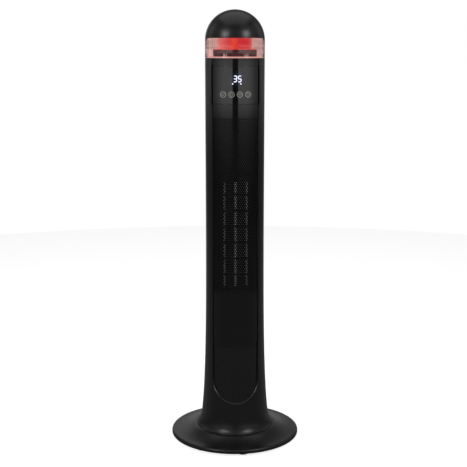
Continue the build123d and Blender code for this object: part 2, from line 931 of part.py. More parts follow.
def heater_fins():
    """Two columns of folded sheet between the bars."""
    left = heater_bar_width / 2 + fin_thickness / 2
    right = heater_bar_spacing - heater_bar_width / 2 - fin_thickness / 2
    margin = fin_thickness
    folds = int((heater_top - heater_bottom - 2 * margin) / fin_pitch)
    path = []
    for index in range(folds + 1):
        height = heater_bottom + margin + index * fin_pitch
        ends = (left, right) if index % 2 == 0 else (right, left)
        path += [(ends[0], height), (ends[1], height)]
    outline = thick_path(path, fin_thickness)
    face = make_face(Polyline(*[(x, 0, z) for x, z in outline], close=True))
    front = heater_front_y + 0.5
    column = Pos(0, front, 0) * extrude(face, heater_depth - 1, dir=(0, 1, 0))
    return [column, mirror(column, Plane.YZ)]


def make_heater_guard():
    """The ribbed guard between the element and the grille."""
    back = heater_front_y - guard_gap
    front = back - guard_rib_depth
    outer = heater_half_width() - 1
    low, high = heater_bottom - heater_frame_wall, heater_top + heater_frame_wall
    guard = block(-outer, -outer + 3, front, back + guard_gap, low, high)
    guard += block(outer - 3, outer, front, back + guard_gap, low, high)
    ribs = int((heater_top - heater_bottom) / guard_rib_pitch)
    start = (heater_top + heater_bottom - (ribs - 1) * guard_rib_pitch) / 2
    for index in range(ribs):
        height = start + index * guard_rib_pitch
        half = guard_rib_height / 2
        guard += block(-outer + 1, outer - 1, front, back, height - half, height + half)
    return guard


def make_thermal_cutout():
    """The round cut-out that stops the heater when it grows too hot."""
    low = duct_top
    y = heater_front_y + heater_depth / 2
    cutout = disc(cutout_radius, low, low + cutout_height, 0, y)
    return cutout + block(-2, 2, y - 3, y + 3, low + cutout_height, low + cutout_height + 7)


def make_power_board():
    half = power_board_half_width
    y = power_board_y - fan_motor_radius
    return block(-half, half, y, y + board_thickness, duct_top, duct_top + power_board_height)


def make_board_parts():
    """What stands on the power board: two relays, a capacitor and a heat sink."""
    back = power_board_y - fan_motor_radius + board_thickness
    low = duct_top + board_part_margin
    relay_back, relay_top = back + relay_depth, low + relay_height
    relays = []
    for x in (-power_board_half_width + board_part_margin, -relay_width / 2):
        relays.append(block(x, x + relay_width, back, relay_back, low, relay_top))
    capacitor_x = power_board_half_width - board_part_margin - capacitor_radius
    start = Plane((capacitor_x, back, low + capacitor_radius), z_dir=(0, 1, 0))
    capacitor = start * Cylinder(capacitor_radius, capacitor_length, align=TO_TOP)
    sink_low = relay_top + 2 * board_part_margin
    sink_top = duct_top + power_board_height - board_part_margin
    half = sink_half_width
    sink = block(-half, half, back, back + sink_plate, sink_low, sink_top)
    pitch = (2 * half - sink_fin) / (sink_fin_count - 1)
    for index in range(sink_fin_count):
        x = -half + pitch * index
        sink += block(x, x + sink_fin, back, back + sink_depth, sink_low, sink_top)
    return relays + [capacitor, sink]


def make_rear_grille():
    """The curved intake grille in the rear window of the shell."""
    low, high = rear_window_bottom() + piece_gap, rear_window_top() - piece_gap
    half = rear_window_half_width - piece_gap
    panel = body_layer(0, shell_wall, low, high) & block(-half, half, 0, half_space, low - 1, high + 1)
    field = 2 * half - 2 * rear_rib_width
    slot = (field - (rear_columns - 1) * rear_rib_width) / rear_columns
    rows = int((high - low - 2 * rear_rib_width) / rear_row_pitch)
    start = (low + high - (rows - 1) * rear_row_pitch) / 2
    cuts = []
    for row in range(rows):
        height = start + row * rear_row_pitch
        for column in range(rear_columns):
            x = -field / 2 + column * (slot + rear_rib_width)
            half_slot = rear_slot_height / 2
            cuts.append(block(x, x + slot, 0, half_space, height - half_slot, height + half_slot))
    return panel.cut(*cuts)


def make_dust_filter():
    """The thin filter sheet behind the intake grille."""
    half = rear_window_half_width + filter_lap
    low, high = rear_window_bottom() + duct_plate_thickness, rear_window_top() + filter_lap
    outer = shell_wall + piece_gap
    sheet = body_layer(outer, outer + filter_thickness, low, high)
    return sheet & block(-half, half, 0, half_space, low - 1, high + 1)


def make_ring_plinth():
    """The stepped deck on top of the tube, with the post that holds the dome."""
    flange = body_radius - ring_wall - piece_gap
    plinth_top = body_top + flange_height + plinth_height
    deck = disc(flange, body_top, body_top + flange_height)
    deck += disc(plinth_radius, body_top, plinth_top)
    inner = plinth_radius - dome_wall
    deck -= tube(inner, ring_post_radius, body_top, plinth_top - dome_wall)
    deck += disc(ring_post_radius, body_top, ring_top)
    hole = disc(screw_radius + running_gap, ring_top - screw_length, ring_top)
    return deck - hole


def make_clear_ring():
    return tube(body_radius, body_radius - ring_wall, ring_bottom, ring_top)


def make_light_core():
    """The red diffuser that glows inside the clear ring."""
    low = body_top + flange_height + plinth_height
    return tube(core_radius, core_radius - core_wall, low, ring_top)


def make_led_board():
    """A ring-shaped board with its lamps facing up into the core."""
    low = body_top + flange_height + plinth_height
    top = low + board_thickness
    outer = core_radius - core_wall - piece_gap
    board = tube(outer, ring_post_radius + piece_gap, low, top)
    half = led_size / 2
    for x, y in around(led_count, outer - led_size):
        board += block(x - half, x + half, y - half, y + half, top, top + 1.5)
    return board


def dome_centre():
    return total_height - body_radius


def make_dome_cap():
    """The dome: the cap of a ball as wide as the tube, hollow inside."""
    outer = Pos(0, 0, dome_centre()) * Sphere(body_radius)
    inner = Pos(0, 0, dome_centre()) * Sphere(body_radius - dome_wall)
    keep = disc(half_space, ring_top, total_height + 1)
    return (outer - inner) & keep


def make_dome_plate():
    """The plate that closes the dome and takes the ring's post screw."""
    offset = ring_top + dome_plate_thickness - dome_centre()
    radius = sqrt((body_radius - dome_wall) ** 2 - offset**2) - seat_gap
    plate = disc(radius, ring_top, ring_top + dome_plate_thickness)
    return plate - disc(screw_radius + running_gap, ring_top, ring_top + dome_plate_thickness)


def dome_screw_place():
    return Pos(0, 0, ring_top + dome_plate_thickness) * Rot(180, 0, 0)


os.makedirs("parts", exist_ok=True)

write("base_cover", make_base_cover())
write("base_plate", make_base_plate())
write("ballast_ring", make_ballast())
write("rubber_feet", *make_feet())
write("cord_gland", make_cord_gland())
write("base_screws", *base_screws())
write("tip_switch_housing", make_tip_switch())
write("tip_switch_plunger", make_plunger())
write("thrust_ring", tube(thrust_outer_radius, thrust_inner_radius, deck_top, thrust_top))
write("swivel_gear", make_swivel_gear())
write("gear_screws", *gear_screws())

write("tower_plate", make_tower_plate())
write("tower_screws", *tower_screws())
write("swivel_motor", make_swivel_motor())
write("drive_pinion", make_pinion())
write("tower_shell", make_tower_shell())
write("front_chassis", make_chassis())
write("lower_panel", make_lower_panel())
write("front_grille", make_front_grille())
write("display_bezel", make_display_bezel())
write("control_panel", make_control_panel())
write("display_board", make_display_board())
write("digit_module", make_digit_module())
write("touch_pads", *make_touch_springs())

write("fan_duct", make_fan_duct())
write("fan_motor", make_fan_motor())
write("fan_rotor", make_fan_rotor())
write("fan_shaft", make_fan_shaft())
write("top_bush", make_top_bush())
write("heater_frame", make_heater_frame())
write("heater_bars", *heater_bars())
write("heater_fins", *heater_fins())
write("heater_guard", make_heater_guard())
write("thermal_cutout", make_thermal_cutout())
write("power_board", make_power_board())
write("power_board_parts", *make_board_parts())
write("rear_grille", make_rear_grille())
write("dust_filter", make_dust_filter())
write("rear_screws", *[place * screw() for place in rear_screw_places()])
write("rocker_housing", make_rocker_housing())
write("rocker_button", make_rocker())

write("ring_plinth", make_ring_plinth())
write("clear_ring", make_clear_ring())
write("light_core", make_light_core())
write("led_board", make_led_board())
write("dome_cap", make_dome_cap())
write("dome_plate", make_dome_plate())
write("dome_screw", dome_screw_place() * screw(screw_length - 2))
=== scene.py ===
import math

import bmesh
import bpy
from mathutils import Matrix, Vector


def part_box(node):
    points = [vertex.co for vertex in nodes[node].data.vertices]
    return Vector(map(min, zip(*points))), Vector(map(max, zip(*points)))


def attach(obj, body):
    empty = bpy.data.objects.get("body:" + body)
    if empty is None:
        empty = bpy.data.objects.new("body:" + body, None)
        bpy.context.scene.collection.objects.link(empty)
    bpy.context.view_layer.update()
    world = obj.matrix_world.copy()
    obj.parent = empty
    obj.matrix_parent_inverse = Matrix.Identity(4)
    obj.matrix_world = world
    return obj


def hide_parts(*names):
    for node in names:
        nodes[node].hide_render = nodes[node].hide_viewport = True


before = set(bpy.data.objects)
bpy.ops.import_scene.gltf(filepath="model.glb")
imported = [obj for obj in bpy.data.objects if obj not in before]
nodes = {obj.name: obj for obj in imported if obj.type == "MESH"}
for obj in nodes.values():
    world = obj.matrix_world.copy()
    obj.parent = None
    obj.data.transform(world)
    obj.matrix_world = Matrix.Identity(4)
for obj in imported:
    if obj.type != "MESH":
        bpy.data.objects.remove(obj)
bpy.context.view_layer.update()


# The camera stands in front of the heater and a little to its left, level with
# the clear ring, and looks slightly down, as in the photograph.
photo_pixels = 467
focal_pixels = 1008.7
sensor_width = 36.0
camera_distance = 2.1228
camera_height = 0.846
camera_turn = math.radians(1.7)
camera_tilt = math.radians(10.588)
camera_shift = -0.0029
camera_data = bpy.data.cameras.new("camera")
camera_data.sensor_width = sensor_width
camera_data.lens = focal_pixels / photo_pixels * sensor_width
camera = bpy.data.objects.new("camera", camera_data)
camera.location = (
    camera_shift - camera_distance * math.sin(camera_turn),
    -camera_distance * math.cos(camera_turn),
    camera_height,
)
camera.rotation_euler = (math.radians(90.0) - camera_tilt, 0.0, -camera_turn)
bpy.context.scene.collection.objects.link(camera)
bpy.context.scene.camera = camera
bpy.context.scene.view_settings.view_transform = "Standard"


# The studio: a white floor that keeps a faint shadow, a round white wall that
# can be seen through from outside, and soft lamps at both sides and above.


class Number:
    """A number socket of a material, so that shader maths reads as arithmetic."""

    def __init__(self, paint, socket):
        self.paint = paint
        self.socket = socket

    def join(self, operation, first, second):
        node = self.paint.node("Math", {"operation": operation}, {0: first, 1: second})
        return Number(self.paint, node.outputs[0])

    def __add__(self, other):
        return self.join("ADD", self, other)

    def __radd__(self, other):
        return self.join("ADD", other, self)

    def __sub__(self, other):
        return self.join("SUBTRACT", self, other)

    def __rsub__(self, other):
        return self.join("SUBTRACT", other, self)

    def __mul__(self, other):
        return self.join("MULTIPLY", self, other)

    def __rmul__(self, other):
        return self.join("MULTIPLY", other, self)

    def __truediv__(self, other):
        return self.join("DIVIDE", self, other)

    def __gt__(self, other):
        return self.join("GREATER_THAN", self, other)

    def __lt__(self, other):
        return self.join("LESS_THAN", self, other)

    def __pow__(self, other):
        return self.join("POWER", self, other)

    def __rpow__(self, other):
        return self.join("POWER", other, self)

    def __abs__(self):
        return self.join("ABSOLUTE", self, 0.0)

    def ramp(self, low, high):
        """Smoothly 0 below low and 1 above high."""
        settings = {"interpolation_type": "SMOOTHSTEP"}
        sockets = {"Value": self, "From Min": low, "From Max": high}
        node = self.paint.node("MapRange", settings, sockets)
        return Number(self.paint, node.outputs[0])


class Paint:
    """A material made of nodes."""

    def __init__(self, name):
        self.material = bpy.data.materials.new(name)
        self.material.use_nodes = True
        self.tree = self.material.node_tree
        self.tree.nodes.clear()
        self.output = self.tree.nodes.new("ShaderNodeOutputMaterial")

    def node(self, kind, settings=None, sockets=None):
        made = self.tree.nodes.new("ShaderNode" + kind)
        for key, value in (settings or {}).items():
            setattr(made, key, value)
        for key, value in (sockets or {}).items():
            socket = made.inputs[key]
            if isinstance(value, Number):
                self.tree.links.new(value.socket, socket)
            elif isinstance(value, bpy.types.NodeSocket):
                self.tree.links.new(value, socket)
            else:
                socket.default_value = value
        return made

    def place(self):
        """Where a point lies on the object, in metres."""
        return self.node("TexCoord").outputs["Object"]

    def axes(self):
        """The three coordinates of a point, as numbers."""
        parts = self.node("SeparateXYZ", None, {0: self.place()})
        return [Number(self, parts.outputs[index]) for index in range(3)]

    def noise(self, scale, detail=2.0):
        """Even noise between 0 and 1, with features of about 1 / scale metres."""
        sockets = {"Vector": self.place(), "Scale": scale, "Detail": detail}
        return Number(self, self.node("TexNoise", None, sockets).outputs["Fac"])

    def mix(self, factor, first, second):
        """A colour between two colours."""
        made = self.node("Mix", {"data_type": "RGBA"}, {0: factor, 6: first, 7: second})
        return made.outputs[2]

    def bump(self, height, distance):
        """The normals of a skin whose height varies by a distance in metres."""
        made = self.node("Bump", None, {"Height": height, "Distance": distance})
        return made.outputs["Normal"]

    def surface(self, sockets):
        """Finishes the material with one principled shader."""
        shader = self.node("BsdfPrincipled", None, sockets)
        self.tree.links.new(shader.outputs[0], self.output.inputs["Surface"])
        return self.material


def colour(red, green, blue):
    return (red, green, blue, 1.0)


def put_in_scene(name, mesh, *materials):
    made = bpy.data.objects.new(name, mesh)
    for material in materials:
        mesh.materials.append(material)
    bpy.context.scene.collection.objects.link(made)
    return made


def sheet_mesh(name, points, faces):
    mesh = bpy.data.meshes.new(name)
    mesh.from_pydata(points, [], faces)
    return mesh


floor_half = 4.0
wall_radius = 2.6
wall_height = 3.2
wall_steps = 72
studio_white = colour(1.0, 1.0, 1.0)


def studio_rays(paint):
    """Which rays meet a studio surface: the camera's, reflections, and those that only
    passed through glass. A reflection that then passes through glass stays a reflection."""
    rays = paint.node("LightPath")
    names = ("Is Camera Ray", "Is Glossy Ray", "Is Transmission Ray", "Glossy Depth")
    seen, glossy, through, bounces = [Number(paint, rays.outputs[name]) for name in names]
    mirrored = bounces > 0.5
    return seen, glossy + through * mirrored, through * (1.0 - mirrored)


def from_camera_side(x, y):
    """How many degrees a point lies round from the side where the camera stands."""
    turn = x.join("ARCTAN2", x, -1.0 * y) * (180.0 / math.pi)
    return abs(turn)


# What the wall and floor show in reflections: how bright each patch is, and its
# edges in metres above the floor and in degrees round from the camera's side. The
# last value is how bright the floor is to the eye.
screen_light = 1.3
screen_loss = 1.05
screen_edge = (9.0, 13.0)
screen_fade = (40.0, 100.0)
screen_foot = (0.47, 0.61)
screen_head = (0.775, 0.83)
band_light = 0.70
band_loss = 0.46
band_edge = (140.0, 165.0)
band_fade = (-0.25, 0.35)
band_foot = (0.78, 1.02)
band_head = (1.25, 1.8)
behind_light = 0.5
behind_edge = (148.0, 158.0)
behind_head = (0.3, 0.6)
ceiling_light = 0.22
ceiling_foot = (0.9, 1.4)
ceiling_fade = (110.0, 145.0)
ceiling_loss = 0.8
wall_light = 0.08
floor_light = 0.14
floor_behind_light = 0.35
floor_behind_start = (0.3, 1.2)
floor_seen_light = 0.86


def floor_white():
    """White to the eye, and dim in reflections, with a faint shadow under the heater."""
    paint = Paint("floor_white")
    seen, glossy, through = studio_rays(paint)
    x, y, _ = paint.axes()
    behind = from_camera_side(x, y).ramp(*behind_edge) * y.ramp(*floor_behind_start)
    mirrored = glossy * (floor_light + behind * floor_behind_light)
    strength = seen * floor_seen_light + mirrored + through
    glow = paint.node("Emission", None, {"Color": studio_white, "Strength": strength})
    matt_tone = paint.mix(glossy + through, colour(0.8, 0.8, 0.8), colour(0.05, 0.05, 0.05))
    matt = paint.node("BsdfDiffuse", None, {"Color": matt_tone})
    both = paint.node("AddShader", None, {0: glow.outputs[0], 1: matt.outputs[0]})
    paint.tree.links.new(both.outputs[0], paint.output.inputs["Surface"])
    return paint.material


def wall_white():
    """White to the eye. In reflections it is two pale screens beside the camera that fade
    towards the sides, a band behind the heater that is brighter on the left, a pale patch
    low down behind it, and a dim ceiling."""
    paint = Paint("wall_white")
    seen, glossy, through = studio_rays(paint)
    x, y, z = paint.axes()
    aside = from_camera_side(x, y)
    fade = screen_light - aside.ramp(*screen_fade) * screen_loss
    screens = aside.ramp(*screen_edge) * fade * z.ramp(*screen_foot) * (1.0 - z.ramp(*screen_head))
    high = z.ramp(*band_foot) * (1.0 - z.ramp(*band_head))
    band = aside.ramp(*band_edge) * high * (band_light - x.ramp(*band_fade) * band_loss)
    behind = aside.ramp(*behind_edge) * (1.0 - z.ramp(*behind_head)) * behind_light
    above = 1.0 - aside.ramp(*ceiling_fade) * ceiling_loss
    ceiling = z.ramp(*ceiling_foot) * above * ceiling_light
    strength = seen + through + glossy * (screens + band + behind + ceiling + wall_light)
    glow = paint.node("Emission", None, {"Color": studio_white, "Strength": strength})
    clear = paint.node("BsdfTransparent")
    outside = paint.node("NewGeometry").outputs["Backfacing"]
    both = paint.node("MixShader", None, {0: outside, 1: glow.outputs[0], 2: clear.outputs[0]})
    paint.tree.links.new(both.outputs[0], paint.output.inputs["Surface"])
    return paint.material


floor_corners = [(-floor_half, -floor_half, 0.0), (floor_half, -floor_half, 0.0)]
floor_corners += [(floor_half, floor_half, 0.0), (-floor_half, floor_half, 0.0)]
floor = put_in_scene("floor", sheet_mesh("floor", floor_corners, [(0, 1, 2, 3)]), floor_white())
wall_points = []
wall_faces = []
for step in range(wall_steps):
    turn = 2.0 * math.pi * step / wall_steps
    for height in (0.0, wall_height):
        wall_points.append((wall_radius * math.cos(turn), wall_radius * math.sin(turn), height))
    after = (step + 1) % wall_steps
    wall_faces.append((2 * step, 2 * step + 1, 2 * after + 1, 2 * after))
backdrop = put_in_scene("backdrop", sheet_mesh("backdrop", wall_points, wall_faces), wall_white())

world = bpy.data.worlds.new("studio")
world.use_nodes = True
world.node_tree.nodes["Background"].inputs["Color"].default_value = colour(0.05, 0.05, 0.05)
bpy.context.scene.world = world

# Each lamp has a name, a place, a target, a width, a height and a power in watts.
lamps = [
    ("left_box", (-1.00, -1.15, 1.42), (0.0, 0.0, 0.7), 0.55, 0.5, 6.5),
    ("right_box", (1.05, -1.10, 1.42), (0.0, 0.0, 0.7), 0.55, 0.5, 6.5),
    ("left_strip", (-1.25, 0.55, 1.15), (0.0, 0.0, 0.6), 0.25, 1.1, 0.6),
    ("right_strip", (1.25, 0.65, 1.15), (0.0, 0.0, 0.6), 0.25, 1.1, 0.4),
    ("top_box", (0.0, 0.2, 2.7), (0.0, 0.0, 0.6), 2.6, 2.6, 16.0),
]
for name, place, target, wide, tall, power in lamps:
    lamp = bpy.data.lights.new(name, "AREA")
    lamp.shape = "RECTANGLE"
    lamp.size = wide
    lamp.size_y = tall
    lamp.energy = power
    holder = bpy.data.objects.new(name, lamp)
    holder.location = place
    aim = Vector(target) - holder.location
    holder.rotation_euler = aim.to_track_quat("-Z", "Y").to_euler()
    bpy.context.scene.collection.objects.link(holder)


# The feet: eight soft rubber pads under the rim of the base. They are moulded,
# with a fine matt grain and a little dust.
rubber = Paint("foot_rubber")
dust = rubber.noise(60.0, 4.0)
rubber_colour = rubber.mix(dust, colour(0.012, 0.012, 0.012), colour(0.035, 0.034, 0.032))
rubber_bump = rubber.bump(rubber.noise(2500.0), 0.0001)
foot_rubber = rubber.surface({"Base Color": rubber_colour, "Roughness": 0.8, "Normal": rubber_bump})


def dress(material, *names):
    """Gives CAD nodes their finish."""
    for name in names:
        mesh = nodes[name].data
        mesh.materials.clear()
        mesh.materials.append(material)


dress(foot_rubber, "rubber_feet", "cord_gland")


# The moulded body parts: black plastic, injection moulded with a satin, finely
# grained skin that is a shade uneven, as large mouldings are.
def moulded_plastic(name, tone, roughness, grain):
    """Black plastic whose grain is given as its depth in metres."""
    paint = Paint(name)
    cloud = paint.noise(14.0, 3.0)
    fine = paint.noise(1400.0, 2.0)
    low, high = tone * 0.9, tone * 1.1
    base = paint.mix(cloud, colour(low, low, low * 1.03), colour(high, high, high * 1.03))
    rough = roughness * 0.92 + fine * (roughness * 0.08) + cloud * (roughness * 0.08)
    sockets = {"Base Color": base, "Roughness": rough, "Specular IOR Level": 0.5}
    if grain:
        sockets["Normal"] = paint.bump(fine, grain)
    return paint.surface(sockets)


satin_black = moulded_plastic("satin_black", 0.0085, 0.31, 0.00006)
inner_black = moulded_plastic("inner_black", 0.012, 0.55, 0.00008)
gloss_black = moulded_plastic("gloss_black", 0.004, 0.10, 0.0)


# The edges that stay sharp turn by more than this many degrees, and the loose
# corners of a CAD node's triangles are joined within this many metres.
sharp_edge = 32.0
merge_gap = 0.000005


def smooth_faces(shape, angle):
    """Smooths every face, and keeps the edges that turn by more than an angle in degrees."""
    for face in shape.faces:
        face.smooth = True
    limit = math.radians(angle)
    for edge in shape.edges:
        edge.smooth = len(edge.link_faces) == 2 and edge.calc_face_angle(0.0) < limit


def smooth_copy(name, node, body, material):
    """A dressed copy of a CAD node, with its loose faces joined and its curves smooth."""
    mesh = nodes[node].data.copy()
    mesh.materials.clear()
    shape = bmesh.new()
    shape.from_mesh(mesh)
    bmesh.ops.remove_doubles(shape, verts=shape.verts, dist=merge_gap)
    smooth_faces(shape, sharp_edge)
    shape.to_mesh(mesh)
    shape.free()
    piece = put_in_scene(name, mesh, material)
    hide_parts(node)
    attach(piece, body)
    return piece


def finish_shape(shape, name, body, node, material, angle=sharp_edge):
    """Turns faces outwards, smooths them up to an angle, and rides the piece on its body."""
    bmesh.ops.recalc_face_normals(shape, faces=shape.faces)
    smooth_faces(shape, angle)
    mesh = bpy.data.meshes.new(name)
    shape.to_mesh(mesh)
    shape.free()
    piece = put_in_scene(name, mesh, material)
    if node:
        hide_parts(node)
    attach(piece, body)
    return piece


def lathe(name, body, node, material, outline, segments, angle=sharp_edge):
    """Turns a closed outline of (radius, height) points about the heater's axis."""
    shape = bmesh.new()
    rings = []
    for radius, height in outline:
        if radius == 0.0:
            rings.append([shape.verts.new((0.0, 0.0, height))] * segments)
            continue
        ring = []
        for step in range(segments):
            turn = 2.0 * math.pi * step / segments
            ring.append(shape.verts.new((radius * math.cos(turn), radius * math.sin(turn), height)))
        rings.append(ring)
    for first, second in zip(rings, rings[1:] + rings[:1]):
        if first[0] is first[1] and second[0] is second[1]:
            continue
        for step in range(segments):
            after = (step + 1) % segments
            corners = [first[step], first[after], second[after], second[step]]
            corners = [v for index, v in enumerate(corners) if v not in corners[:index]]
            shape.faces.new(corners)
    return finish_shape(shape, name, body, node, material, angle)


def arc_points(centre, radius, start, end, steps):
    """Points on an arc, with angles in degrees from the outward direction."""
    points = []
    for step in range(steps + 1):
        turn = math.radians(start + (end - start) * step / steps)
        points.append((centre[0] + radius * math.cos(turn), centre[1] + radius * math.sin(turn)))
    return points


# The base cover: one low injection moulding with a rounded rim, whose top rises
# gently to the deck that the tower turns on. Screws from below hold it down.
base_low, base_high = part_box("base_cover")
base_radius = base_high[0]
base_bottom = base_low[2]
rim_height = 0.0083
deck_height = 0.020
rim_top = base_bottom + rim_height
deck_top = base_bottom + deck_height
deck_radius = 0.088
cover_wall = 0.0025
rim_round = 0.004
lip_round = 0.0012
hub_radius = 0.024
hub_bore = 0.013
sweep_steps = 18
rim_inner = base_radius - cover_wall
sweep_start = base_radius - rim_round
sweep = []
for step in range(sweep_steps + 1):
    part = step / sweep_steps
    radius = sweep_start + (deck_radius - sweep_start) * part
    sweep.append((radius, rim_top + (deck_top - rim_top) * part**2))
lip_centre = (base_radius - lip_round, base_bottom + lip_round)
rim_centre = (sweep_start, rim_top - rim_round)
cover_outline = [(rim_inner, base_bottom)]
cover_outline += arc_points(lip_centre, lip_round, -90, 0, 5)
cover_outline += arc_points(rim_centre, rim_round, 0, 83, 10)
cover_outline += sweep[1:]
cover_outline += [(hub_radius, deck_top), (hub_radius, base_high[2]), (hub_bore, base_high[2])]
cover_outline += [(hub_bore, deck_top - cover_wall)]
cover_outline += [(radius, height - cover_wall) for radius, height in reversed(sweep)]
cover_outline += [(rim_inner, rim_top - rim_round - cover_wall / 2)]
lathe("base_cover_moulding", "base", "base_cover", satin_black, cover_outline, 240)


# The closing plate, ballast and tip-over switch sit inside the base and are
# bare: a black plate, a cast ring, and a small sealed switch with a white plunger.
dress(inner_black, "base_plate", "tip_switch_housing")


def metal(name, tone, roughness, scale):
    """Bare metal with fine rolling or turning marks."""
    paint = Paint(name)
    marks = paint.noise(scale, 3.0)
    base = paint.mix(marks, colour(*[part * 0.85 for part in tone]), colour(*tone))
    rough = roughness * 0.8 + marks * (roughness * 0.4)
    sockets = {"Base Color": base, "Metallic": 1.0, "Roughness": rough}
    sockets["Normal"] = paint.bump(marks, 0.00002)
    return paint.surface(sockets)


zinc_steel = metal("zinc_steel", (0.55, 0.55, 0.56), 0.35, 900.0)
cast_iron = metal("cast_iron", (0.10, 0.10, 0.11), 0.65, 500.0)
sintered_bronze = metal("sintered_bronze", (0.50, 0.33, 0.16), 0.5, 1500.0)
dress(cast_iron, "ballast_ring")
dress(zinc_steel, "base_screws", "gear_screws", "tower_screws", "rear_screws", "dome_screw")


# The swivel: a white slide ring and toothed sector on the base, a floor plate
# that turns on the hub, and a flat geared motor with its pinion.
def pale_plastic(name, tone, roughness):
    paint = Paint(name)
    cloud = paint.noise(40.0, 3.0)
    base = paint.mix(cloud, colour(*[part * 0.94 for part in tone]), colour(*tone))
    sockets = {"Base Color": base, "Roughness": roughness * 0.9 + cloud * (roughness * 0.2)}
    sockets["Normal"] = paint.bump(paint.noise(2200.0), 0.00004)
    return paint.surface(sockets)


natural_acetal = pale_plastic("natural_acetal", (0.72, 0.71, 0.67), 0.4)
dress(natural_acetal, "thrust_ring", "swivel_gear", "drive_pinion", "tip_switch_plunger")
dress(inner_black, "tower_plate")
dress(zinc_steel, "swivel_motor")


# The tower shell: a long tube that swells into a foot, moulded in one piece,
# with a bevelled U-shaped channel down its front and a window at its rear.
smooth_copy("tower_shell_moulding", "tower_shell", "tower", satin_black)

# The front chassis: the frame behind the panels. Its bare lower end is the
# floor of the channel, with the same satin skin as the shell.
smooth_copy("chassis_moulding", "front_chassis", "tower", satin_black)

# The lower panel: a plain gloss moulding under the grille, whose last
# centimetres slope back into the channel.
smooth_copy("lower_panel_moulding", "lower_panel", "tower", gloss_black)


# The outlet grille: a thin gloss sheet with fine round holes in staggered
# rows, bent to the tube and held in a narrow plain rim.
grille_low, grille_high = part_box("front_grille")
panel_radius = -grille_low[1]
grille_pitch = 0.0044
grille_hole = 0.0028
grille_thickness = 0.0014
grille_rim = 0.0032
grille_rim_depth = 0.0018
grille_sink = 0.0002
grille_merge = 0.00002
grille_half_turn = math.asin(grille_high[0] / panel_radius)
tile_sides = 12


def hole_tile():
    """A hexagonal tile of sheet with a round hole, facing -Y."""
    shape = bmesh.new()
    rings = []
    outline = (grille_pitch / math.sqrt(3.0), grille_pitch / 2)
    hole = (grille_hole / 2, grille_hole / 2)
    for y, reach in ((0.0, outline), (0.0, hole), (grille_thickness, hole), (grille_thickness, outline)):
        ring = []
        for step in range(tile_sides):
            turn = 2.0 * math.pi * step / tile_sides + math.pi / 2.0
            radius = reach[step % 2]
            ring.append(shape.verts.new((radius * math.cos(turn), y, radius * math.sin(turn))))
        rings.append(ring)
    for first, second in zip(rings, rings[1:]):
        for step in range(tile_sides):
            after = (step + 1) % tile_sides
            shape.faces.new((first[step], first[after], second[after], second[step]))
    mesh = bpy.data.meshes.new("hole_tile")
    shape.to_mesh(mesh)
    shape.free()
    return put_in_scene("hole_tile", mesh)


class Tree:
    """A geometry nodes tree with named inputs."""

    def __init__(self, name, inputs):
        self.tree = bpy.data.node_groups.new(name, "GeometryNodeTree")
        self.inputs = {}
        for label, kind, value in inputs:
            socket = self.tree.interface.new_socket(label, in_out="INPUT", socket_type=kind)
            if kind != "NodeSocketObject":
                socket.default_value = value
            self.inputs[label] = (socket.identifier, value)
        self.tree.interface.new_socket("Geometry", in_out="OUTPUT", socket_type="NodeSocketGeometry")
        self.start = self.tree.nodes.new("NodeGroupInput")
        self.end = self.tree.nodes.new("NodeGroupOutput")

    def node(self, kind, settings=None, sockets=None):
        made = self.tree.nodes.new(kind)
        for key, value in (settings or {}).items():
            setattr(made, key, value)
        for key, value in (sockets or {}).items():
            if isinstance(value, bpy.types.NodeSocket):
                self.tree.links.new(value, made.inputs[key])
            else:
                made.inputs[key].default_value = value
        return made

    def maths(self, operation, first, second=0.0):
        made = self.node("ShaderNodeMath", {"operation": operation}, {0: first, 1: second})
        return made.outputs[0]

    def given(self, label):
        return self.start.outputs[label]

    def build(self, name, geometry, material):
        """Runs the tree on an empty mesh, and puts the result in the scene as a plain mesh."""
        real = self.node("GeometryNodeRealizeInstances", None, {0: geometry}).outputs[0]
        painted = self.node("GeometryNodeSetMaterial", None, {"Geometry": real, "Material": material})
        self.tree.links.new(painted.outputs[0], self.end.inputs[0])
        holder = put_in_scene(name + "_source", bpy.data.meshes.new(name + "_source"))
        modifier = holder.modifiers.new("nodes", "NODES")
        modifier.node_group = self.tree
        for identifier, value in self.inputs.values():
            modifier[identifier] = value
        depsgraph = bpy.context.evaluated_depsgraph_get()
        mesh = bpy.data.meshes.new_from_object(holder.evaluated_get(depsgraph))
        mesh.name = name
        bpy.data.objects.remove(holder)
        return put_in_scene(name, mesh)


def bend_to_tube(tree, geometry, radius):
    """Wraps a flat sheet in the XZ plane round the front of the tube."""
    here = tree.node("GeometryNodeInputPosition").outputs[0]
    parts = tree.node("ShaderNodeSeparateXYZ", None, {0: here}).outputs
    turn = tree.maths("DIVIDE", parts[0], radius)
    reach = tree.maths("SUBTRACT", radius, parts[1])
    x = tree.maths("MULTIPLY", reach, tree.maths("SINE", turn))
    y = tree.maths("MULTIPLY", tree.maths("MULTIPLY", reach, tree.maths("COSINE", turn)), -1.0)
    place = tree.node("ShaderNodeCombineXYZ", None, {0: x, 1: y, 2: parts[2]}).outputs[0]
    sockets = {"Geometry": geometry, "Position": place}
    return tree.node("GeometryNodeSetPosition", None, sockets).outputs[0]


